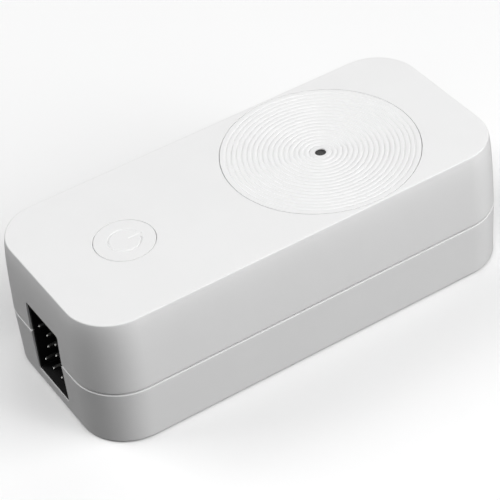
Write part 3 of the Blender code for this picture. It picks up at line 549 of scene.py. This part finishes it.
def upper_casing():
    """Top shell with the cover's recess, the button's hole and half of the socket opening."""
    rim_low = TOP_Z - RIM_RADIUS
    edge = UPPER_EDGE_RADIUS
    levels = [(edge + u, PARTING_HIGH + edge + v) for u, v in arc((0, 0), edge, 270, 180, 6)]
    for step in range(1, WALL_STEPS):
        share = step / WALL_STEPS
        inset = UPPER_DRAFT * sum(part * share ** power for part, power in DRAFT_CURVE)
        levels.append((inset, PARTING_HIGH + edge + (rim_low - PARTING_HIGH - edge) * share))
    levels += [(UPPER_DRAFT + RIM_RADIUS + u, rim_low + v)
               for u, v in arc((0, 0), RIM_RADIUS, 180, 90, 8)]
    shell = ring_stack("upper_casing_shell", 0.0, levels)
    roof_under = TOP_Z - ROOF
    cavity = ring_stack("cavity", WALL, [(0, PARTING_HIGH - 2 * OVERCUT), (UPPER_DRAFT, roof_under)])
    combine(shell, cavity, "DIFFERENCE")
    rebate = ring_stack("rebate", LIP, [(0, PARTING_HIGH - OVERCUT),
                                        (0, PARTING_HIGH + TONGUE_HEIGHT + GAP)])
    combine(shell, rebate, "DIFFERENCE")

    into_roof = roof_under + WELD
    pillars = [(x, y, PARTING_HIGH, into_roof, CASE_PILLAR_RADIUS) for x, y in CASE_SCREWS]
    pillars += [(x, y, SENSOR_BOARD_TOP + GAP, into_roof, SENSOR_PILLAR_RADIUS)
                for x, y in SENSOR_SCREWS]
    combine(shell, cylinders("pillars", pillars, 32), "UNION")
    collar_low = roof_under - COLLAR_HEIGHT
    collar = turned("collar", [(COLLAR_OUTER_RADIUS, into_roof), (COLLAR_OUTER_RADIUS, collar_low),
                               (COLLAR_INNER_RADIUS, collar_low), (COLLAR_INNER_RADIUS, into_roof)],
                    64, x=BUTTON_X)
    combine(shell, collar, "UNION")
    pilots = [(x, y, PARTING_HIGH - OVERCUT, CASE_PILOT_TOP_Z, CASE_PILOT_RADIUS)
              for x, y in CASE_SCREWS]
    pilots += [(x, y, SENSOR_BOARD_TOP - OVERCUT, roof_under - SENSOR_PILOT_END, BOARD_PILOT_RADIUS)
               for x, y in SENSOR_SCREWS]
    combine(shell, cylinders("pilots", pilots, 24), "DIFFERENCE")

    above = TOP_Z + 2 * OVERCUT
    combine(shell, cylinders("opening", [(COVER_X, 0, roof_under - OVERCUT, above,
                                          COVER_OPENING_RADIUS)], 96), "DIFFERENCE")
    for x, radius, low_z, steps in ((COVER_X, COVER_HOLE_RADIUS, TOP_Z - COVER_RECESS, COVER_STEPS),
                                    (BUTTON_X, BUTTON_HOLE_RADIUS, roof_under - OVERCUT,
                                     BUTTON_STEPS)):
        combine(shell, soft_edged_hole(radius, low_z, above, steps, x), "DIFFERENCE")
    combine(shell, socket_cut("socket", SOCKET_HALF_WIDTH + SOCKET_STEP), "DIFFERENCE")
    stands_for(shell, "upper_casing", "enclosure", "white_casing")


def lower_casing():
    """Bottom shell with its tongue, posts, screw holes and foot pockets."""
    edge = LOWER_EDGE_RADIUS
    levels = [(LOWER_DRAFT + BASE_RADIUS + u, BASE_Z + BASE_RADIUS + v)
              for u, v in arc((0, 0), BASE_RADIUS, 270, 180, 6)]
    levels += [(edge + u, PARTING_LOW - edge + v) for u, v in arc((0, 0), edge, 180, 90, 6)]
    shell = ring_stack("lower_casing_shell", 0.0, levels)
    tongue = ring_stack("tongue", LIP + GAP, [(0, PARTING_LOW - TONGUE_ROOT),
                                              (0, PARTING_LOW + TONGUE_HEIGHT)])
    combine(shell, tongue, "UNION")
    floor_z = BASE_Z + FLOOR
    cavity = ring_stack("cavity", WALL, [(LOWER_DRAFT, floor_z), (0, PARTING_LOW + 4 * OVERCUT)])
    combine(shell, cavity, "DIFFERENCE")

    below_floor = floor_z - WELD
    posts = [(x, y, below_floor, PARTING_LOW, CASE_POST_RADIUS) for x, y in CASE_SCREWS]
    posts += [(x, y, below_floor, MAIN_BOARD_LOW - GAP, MAIN_POST_RADIUS) for x, y in MAIN_SCREWS]
    combine(shell, cylinders("posts", posts, 32), "UNION")
    below = BASE_Z - OVERCUT
    holes = [(x, y, below, PARTING_LOW + OVERCUT, CASE_HOLE_RADIUS) for x, y in CASE_SCREWS]
    holes += [(x, y, floor_z - MAIN_HOLE_END, MAIN_BOARD_LOW + OVERCUT, BOARD_PILOT_RADIUS)
              for x, y in MAIN_SCREWS]
    combine(shell, cylinders("holes", holes, 24), "DIFFERENCE")
    counterbores = [(x, y, below, BASE_Z + COUNTERBORE_DEPTH, COUNTERBORE_RADIUS)
                    for x, y in CASE_SCREWS]
    combine(shell, cylinders("counterbores", counterbores, 32), "DIFFERENCE")
    pockets = [(x, y, below, FOOT_TOP + GAP, FOOT_RADIUS + GAP) for x, y in FEET]
    combine(shell, cylinders("pockets", pockets, 48), "DIFFERENCE")
    combine(shell, socket_cut("socket", SOCKET_HALF_WIDTH - SOCKET_STEP), "DIFFERENCE")
    stands_for(shell, "lower_casing", "enclosure", "white_casing")


# ---------------------------------------------------------------- rippled cover

def dish_z(radius):
    """Height of the dished top: level at the rim, lowest at the air hole."""
    inward = max(0.0, 1.0 - radius / DISH_RADIUS)
    return TOP_Z - DISH_DEPTH * math.sin(inward * math.pi / 2)


def ripple_cover():
    """Round cover: ripples round a small air hole, a nozzle below it and three snap legs."""
    rim_z = TOP_Z - COVER_RECESS + GAP
    spigot_radius = COVER_OPENING_RADIUS - SPIGOT_CLEARANCE
    edge = TOP_EDGE_RADIUS
    profile = [(COVER_DISC_RADIUS - edge + u, TOP_Z - edge + v) for u, v in arc((0, 0), edge, 0, 90, 4)]
    profile.append((DISH_RADIUS, TOP_Z))
    for ripple in reversed(range(RIPPLE_COUNT)):
        middle = RIPPLE_INNER_RADIUS + ripple * RIPPLE_PITCH
        for step in range(RIPPLE_POINTS + 1):
            share = step / RIPPLE_POINTS
            radius = middle + RIPPLE_WIDTH * (0.5 - share)
            profile.append((radius, dish_z(radius)
                            - RIPPLE_DEPTH * (1 - math.cos(math.tau * share)) / 2))
    mouth_z = dish_z(AIR_HOLE_RADIUS) - AIR_HOLE_EDGE
    profile += [(AIR_HOLE_RADIUS + AIR_HOLE_EDGE + u, mouth_z + v)
                for u, v in arc((0, 0), AIR_HOLE_EDGE, 90, 180, 4)]
    low_z = COVER_LOW.z
    nozzle_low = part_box("sensor_sleeve")[1].z + GAP
    seat_z = dish_z(AIR_HOLE_RADIUS) - AIR_HOLE_SKIN
    profile += [(AIR_HOLE_RADIUS, seat_z),
                (MEMBRANE_SEAT_RADIUS, seat_z),
                (MEMBRANE_SEAT_RADIUS, nozzle_low),
                (NOZZLE_RADIUS, nozzle_low),
                (NOZZLE_RADIUS, COVER_UNDERSIDE_Z),
                (spigot_radius, COVER_UNDERSIDE_Z),
                (spigot_radius, rim_z),
                (COVER_DISC_RADIUS, rim_z)]
    cover = turned("ripple_cover_disc", profile, COVER_STEPS, x=COVER_X)
    bm = bmesh.new()
    roof_under = TOP_Z - ROOF
    for turn in range(SNAP_LEGS):
        spin = (Matrix.Translation((COVER_X, 0, 0))
                @ Matrix.Rotation(math.tau * turn / SNAP_LEGS, 4, "Z"))
        leg = add_box(bm, (SNAP_LEG_X[0], -SNAP_HALF_WIDTH, low_z + GAP),
                      (SNAP_LEG_X[1], SNAP_HALF_WIDTH, COVER_UNDERSIDE_Z + SNAP_WELD))
        barb = add_box(bm, (SNAP_BARB_X[0], -SNAP_HALF_WIDTH, low_z),
                       (SNAP_BARB_X[1], SNAP_HALF_WIDTH, roof_under - GAP))
        bmesh.ops.transform(bm, matrix=spin, verts=leg + barb)
    legs = piece_from(bm, "legs")
    union = cover.modifiers.new("legs", "BOOLEAN")
    union.operation = "UNION"
    union.solver = "EXACT"
    union.use_self = True
    union.object = legs
    apply_modifiers(cover)
    bpy.data.objects.remove(legs, do_unlink=True)
    stands_for(cover, "ripple_cover", "enclosure", "white_cover", angle=50.0)


# ---------------------------------------------------------------- power button

def groove_section(reach):
    """(offset, depth) points across a shallow round-bottomed groove of the symbol."""
    points = []
    for step in range(SYMBOL_POINTS + 1):
        share = step / SYMBOL_POINTS
        points.append((reach * (share - 0.5), SYMBOL_DEPTH * (1 - math.cos(math.tau * share)) / 2))
    return points


def symbol_cutter(name, frames, reach):
    """Solid that cuts a groove along a row of (point, sideways) frames on the button's face."""
    bm = bmesh.new()
    section = groove_section(reach)
    rows = []
    for point, sideways in frames:
        low = [bm.verts.new((*(point + offset * sideways), TOP_Z - depth)) for offset, depth in section]
        high = [bm.verts.new((*(point + offset * sideways), TOP_Z + OVERCUT / 2))
                for offset in (reach / 2, -reach / 2)]
        rows.append(low + high)
    count = len(rows[0])
    for first, second in zip(rows, rows[1:]):
        for index in range(count):
            after = (index + 1) % count
            bm.faces.new((first[index], first[after], second[after], second[index]))
    bm.faces.new(rows[0])
    bm.faces.new(rows[-1])
    return piece_from(bm, name)


def symbol_ring():
    frames = []
    for step in range(SYMBOL_STEPS + 1):
        turn = SYMBOL_GAP_ANGLE + (math.tau - 2 * SYMBOL_GAP_ANGLE) * step / SYMBOL_STEPS
        ray = Vector((math.cos(turn), math.sin(turn)))
        frames.append((Vector((BUTTON_X, 0)) + SYMBOL_RADIUS * ray, ray))
    return symbol_cutter("symbol_ring", frames, SYMBOL_LINE)


def symbol_bar():
    frames = [(Vector((BUTTON_X + x, 0)), Vector((0, 1))) for x in SYMBOL_BAR_X]
    return symbol_cutter("symbol_bar", frames, SYMBOL_LINE)


def button_cap():
    """Flush round cap with a soft edge and the engraved symbol."""
    flange_top = TOP_Z - ROOF - GAP
    flange_low = flange_top - BUTTON_FLANGE
    edge = TOP_EDGE_RADIUS
    profile = [(0, TOP_Z)]
    profile += [(BUTTON_RADIUS - edge + u, TOP_Z - edge + v)
                for u, v in reversed(arc((0, 0), edge, 0, 90, 6))]
    profile += [(BUTTON_RADIUS, flange_top), (BUTTON_FLANGE_RADIUS, flange_top),
                (BUTTON_FLANGE_RADIUS, flange_low), (BUTTON_FOOT_RADIUS, flange_low),
                (BUTTON_FOOT_RADIUS, BUTTON_LOW.z), (0, BUTTON_LOW.z)]
    cap = turned("button_cap_disc", profile, BUTTON_STEPS, x=BUTTON_X)
    combine(cap, symbol_ring(), "DIFFERENCE")
    combine(cap, symbol_bar(), "DIFFERENCE")
    stands_for(cap, "button_cap", "button", "white_button", crisp=True)


# ---------------------------------------------------------------- end socket

def connector_housing():
    """Black shroud with softened rims, its cavity, the notch for the board and the contact holes."""
    bm = bmesh.new()
    add_box(bm, SHROUD_LOW, SHROUD_HIGH)
    housing = piece_from(bm, "connector_housing_shroud")
    wall = Vector((0, SHROUD_WALL, SHROUD_WALL))
    floor_x = SHROUD_LOW.x + SHROUD_DEPTH
    bm = bmesh.new()
    add_box(bm, SHROUD_LOW + wall - Vector((OVERCUT, 0, 0)),
            (floor_x, SHROUD_HIGH.y - SHROUD_WALL, SHROUD_HIGH.z - SHROUD_WALL))
    combine(housing, piece_from(bm, "socket_cavity"), "DIFFERENCE")
    bm = bmesh.new()
    board_low, board_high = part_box("main_board")
    behind_x = SHROUD_HIGH.x + OVERCUT
    add_box(bm, (board_low.x - GAP, -NOTCH_HALF_WIDTH, 0),
            (behind_x, NOTCH_HALF_WIDTH, board_high.z + GAP))
    combine(housing, piece_from(bm, "board_notch"), "DIFFERENCE")
    bm = bmesh.new()
    for number in range(1, CONTACTS + 1):
        low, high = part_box(f"socket_contact_{number}")
        size = high.y - low.y
        add_box(bm, (floor_x - OVERCUT, low.y - GAP, high.z - size - GAP),
                (behind_x, high.y + GAP, high.z + GAP))
    combine(housing, piece_from(bm, "contact_holes"), "DIFFERENCE")
    soften = housing.modifiers.new("soft_edges", "BEVEL")
    soften.width = SHROUD_EDGE
    soften.segments = 3
    soften.limit_method = "ANGLE"
    apply_modifiers(housing)
    stands_for(housing, "connector_housing", "enclosure", "black_plastic")


def socket_contacts():
    """Square contacts with pyramid tips, bent down into the main board behind the shroud."""
    for number in range(1, CONTACTS + 1):
        low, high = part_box(f"socket_contact_{number}")
        size = high.y - low.y
        middle_y, middle_z = (low.y + high.y) / 2, high.z - size / 2
        radius = size * CONTACT_BEND
        path = [(low.x, middle_z), *[(high.x - size / 2 - radius + u, middle_z - radius + v)
                                     for u, v in arc((0, 0), radius, 90, 0, 8)],
                (high.x - size / 2, low.z)]
        bm = bmesh.new()
        sweep_square(bm, path, middle_y, size)
        contact = piece_from(bm, f"socket_contact_{number}_pin")
        stands_for(contact, f"socket_contact_{number}", "enclosure", "tinned_contact")


def sweep_square(bm, path, middle_y, size):
    """Square bar along (x, z) points, with a tapered point at each end."""
    rows = []
    points = [Vector(point) for point in path]
    places = []
    for index, point in enumerate(points):
        before, after = points[max(index - 1, 0)], points[min(index + 1, len(points) - 1)]
        along = (after - before).normalized()
        places.append((point, along, 1.0))
    start, end = places[0], places[-1]
    taper = size * CONTACT_TAPER
    places[0] = (start[0] + start[1] * taper, start[1], 1.0)
    places[-1] = (end[0] - end[1] * taper, end[1], 1.0)
    places.insert(0, (start[0], start[1], CONTACT_TIP))
    places.append((end[0], end[1], CONTACT_TIP))
    for point, along, share in places:
        across = Vector((-along.y, along.x))
        half = share * size / 2
        rows.append([bm.verts.new((point.x + side * half * across.x, middle_y + other * half,
                                   point.y + side * half * across.y))
                     for side, other in ((1, 1), (1, -1), (-1, -1), (-1, 1))])
    for first, second in zip(rows, rows[1:]):
        for index in range(4):
            after = (index + 1) % 4
            bm.faces.new((first[index], first[after], second[after], second[index]))
    bm.faces.new(rows[0])
    bm.faces.new(rows[-1])


# ---------------------------------------------------------------- screws and feet below

def case_screws():
    """Pan-head screws in the deep counterbores, with a cross recess and a rolled thread."""
    for number, (x, y) in enumerate(CASE_SCREWS, 1):
        low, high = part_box(f"case_screw_{number}")
        head_radius = (high.x - low.x) / 2
        seat_z = low.z + SCREW_HEAD_HEIGHT
        crown = [(head_radius * math.sin(math.radians(turn)),
                  seat_z - SCREW_HEAD_HEIGHT * math.cos(math.radians(turn)) ** 0.5)
                 for turn in range(0, 90, 9)]
        shaft = [(head_radius, seat_z)]
        turns = int((high.z - seat_z - 2 * SCREW_PITCH) / SCREW_PITCH)
        z = seat_z
        for _ in range(turns):
            shaft += [(SCREW_ROOT_RADIUS, z), (SCREW_ROOT_RADIUS, z + 0.5 * SCREW_PITCH),
                      (SCREW_CREST_RADIUS, z + 0.75 * SCREW_PITCH)]
            z += SCREW_PITCH
        shaft += [(SCREW_ROOT_RADIUS, z), (0.3 * SCREW_ROOT_RADIUS, high.z), (0, high.z)]
        screw = turned(f"case_screw_{number}_body", crown + shaft, 32, x=x, y=y)
        half_long, half_short = CROSS_LENGTH * head_radius, CROSS_WIDTH * head_radius
        for half_x, half_y in ((half_long, half_short), (half_short, half_long)):
            bm = bmesh.new()
            add_box(bm, (x - half_x, y - half_y, low.z - OVERCUT),
                    (x + half_x, y + half_y, low.z + CROSS_DEPTH * SCREW_HEAD_HEIGHT))
            combine(screw, piece_from(bm, "cross"), "DIFFERENCE")
        stands_for(screw, f"case_screw_{number}", "enclosure", "zinc_steel")


def rubber_feet():
    """Round feet with a soft edge and a shallow ring pressed into the underside."""
    for number, (x, y) in enumerate(FEET, 1):
        low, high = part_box(f"rubber_foot_{number}")
        edge = FOOT_EDGE
        profile = [(0, high.z), (FOOT_RADIUS, high.z)]
        profile += [(FOOT_RADIUS - edge + u, low.z + edge + v)
                    for u, v in arc((0, 0), edge, 0, -90, 6)]
        profile += [(FOOT_RING_RADIUS + FOOT_RING_WIDTH * (0.5 - step / 8),
                     low.z + FOOT_RING_DEPTH * (1 - math.cos(math.tau * step / 8)) / 2)
                    for step in range(9)]
        profile.append((0, low.z))
        foot = turned(f"rubber_foot_{number}_pad", profile, 64, x=x, y=y)
        stands_for(foot, f"rubber_foot_{number}", "enclosure", "foot_rubber")


# ---------------------------------------------------------------- studio

def soft_box(azimuth, elevation, power):
    """A square soft light that faces the object."""
    around, above = math.radians(azimuth), math.radians(elevation)
    toward = Vector((math.sin(around) * math.cos(above), -math.cos(around) * math.cos(above),
                     math.sin(above)))
    data = bpy.data.lights.new("soft_box", "AREA")
    data.shape = "SQUARE"
    data.size = SOFT_BOX_SIZE
    data.energy = power
    light = bpy.data.objects.new("soft_box", data)
    light.location = Vector((0, 0, TOP_Z / 2)) + SOFT_BOX_DISTANCE * toward
    light.rotation_mode = "QUATERNION"
    light.rotation_quaternion = (-toward).to_track_quat("-Z", "Y")
    bpy.context.scene.collection.objects.link(light)


def studio():
    """Pale floor, faint surrounding light and the soft boxes."""
    bm = bmesh.new()
    bmesh.ops.create_grid(bm, x_segments=1, y_segments=1, size=4.0)
    floor = piece_from(bm, "floor")
    material, tree, shader = shader_tree("pale_floor")
    clouds = noise(tree, object_coordinates(tree), 0.4)
    color = ramp(tree, clouds, 0.3, 0.7, ((0.94, 0.94, 0.94), (0.96, 0.96, 0.96)))
    tree.links.new(color, shader.inputs["Base Color"])
    shader.inputs["Roughness"].default_value = 0.9
    shader.inputs["Specular IOR Level"].default_value = 0.0
    floor.data.materials.append(material)
    floor.visible_diffuse = False
    floor.visible_glossy = False

    world = bpy.data.worlds.new("studio")
    bpy.context.scene.world = world
    world.use_nodes = True
    tree = world.node_tree
    background = tree.nodes["Background"]
    background.inputs["Strength"].default_value = WORLD_STRENGTH
    for azimuth, elevation, power in SOFT_BOXES:
        soft_box(azimuth, elevation, power)
    scene = bpy.context.scene
    scene.view_settings.view_transform = "Standard"
    scene.view_settings.look = "None"


def camera():
    back = Vector((math.sin(CAMERA_AZIMUTH) * math.cos(CAMERA_ELEVATION),
                   -math.cos(CAMERA_AZIMUTH) * math.cos(CAMERA_ELEVATION),
                   math.sin(CAMERA_ELEVATION)))
    level = Vector((math.cos(CAMERA_AZIMUTH), math.sin(CAMERA_AZIMUTH), 0))
    upright = back.cross(level)
    right = math.cos(CAMERA_ROLL) * level + math.sin(CAMERA_ROLL) * upright
    up = math.cos(CAMERA_ROLL) * upright - math.sin(CAMERA_ROLL) * level
    data = bpy.data.cameras.new("camera")
    data.sensor_width = 36.0
    data.lens = CAMERA_LENS
    data.clip_start = 0.01
    data.clip_end = 20.0
    obj = bpy.data.objects.new("camera", data)
    bpy.context.scene.collection.objects.link(obj)
    place = (Vector((0, 0, BASE_Z)) + CAMERA_SIDEWAYS * right + CAMERA_UPWARDS * up
             + CAMERA_DISTANCE * back)
    turn = Matrix((right, up, back)).transposed().to_4x4()
    obj.matrix_world = Matrix.Translation(place) @ turn
    bpy.context.scene.camera = obj


# ---------------------------------------------------------------- the CAD nodes that stay

SLOT_OF_PREFIX = {
    "dust_membrane": "membrane_fabric", "humidity_sensor": "chip_resin",
    "sensor_sleeve": "sleeve_rubber", "switch_base": "chip_resin", "switch_dome": "spring_steel",
    "switch_plunger": "black_plastic", "switch_cover": "zinc_steel", "main_board": "board_laminate",
    "sensor_board": "board_laminate", "lower_header_strip": "black_plastic",
    "upper_header_strip": "black_plastic", "header_pin": "tinned_contact",
    "microcontroller": "chip_resin", "crystal": "zinc_steel", "voltage_regulator": "chip_resin",
    "power_inductor": "chip_resin", "filter_capacitor": "can_aluminium",
    "radio_board": "board_laminate", "radio_shield": "can_aluminium",
    "connector_housing": "black_plastic", "socket_contact": "tinned_contact",
    "case_screw": "zinc_steel", "main_board_screw": "zinc_steel",
    "sensor_board_screw": "zinc_steel", "rubber_foot": "foot_rubber",
    "upper_casing": "white_casing", "lower_casing": "white_casing",
    "ripple_cover": "white_cover", "button_cap": "white_button",
}


def dress_nodes():
    """Give every CAD node the finish of its slot."""
    for name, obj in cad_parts.items():
        prefix = max((p for p in SLOT_OF_PREFIX if name.startswith(p)), key=len)
        slot = SLOT_OF_PREFIX[prefix]
        obj.data.materials.clear()
        obj.data.materials.append(MATERIALS[slot])


camera()
studio()
dress_nodes()
upper_casing()
lower_casing()
ripple_cover()
button_cap()
connector_housing()
socket_contacts()
case_screws()
rubber_feet()
